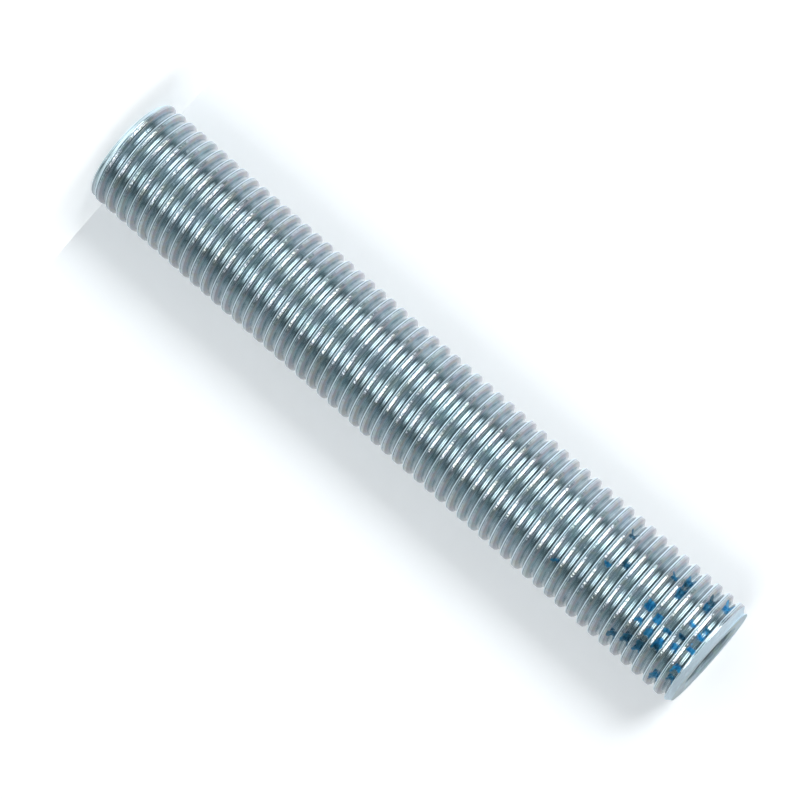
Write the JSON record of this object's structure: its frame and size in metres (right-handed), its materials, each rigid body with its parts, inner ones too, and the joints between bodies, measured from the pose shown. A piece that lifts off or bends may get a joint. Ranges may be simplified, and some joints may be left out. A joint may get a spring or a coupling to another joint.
{
  "type": "lamp nipple",
  "caption": "Straight fully threaded steel tube that joins lamp parts and carries the wires through its bore; bevelled at both cut ends.",
  "frame": {"origin": "middle of the lower cut end", "axes": "+Z along the tube's axis, up towards the blue-stained end; the tube is round, so X and Y are free"},
  "size_m": [0.008, 0.008, 0.0508],
  "materials": {
    "zinc_plated_steel": "rolled thread, bright blue-passivated zinc plate with faint iridescence and traces of blue dye near one end"
  },
  "bodies": {
    "root": {"threaded_tube": "zinc_plated_steel"}
  },
  "joints": []
}
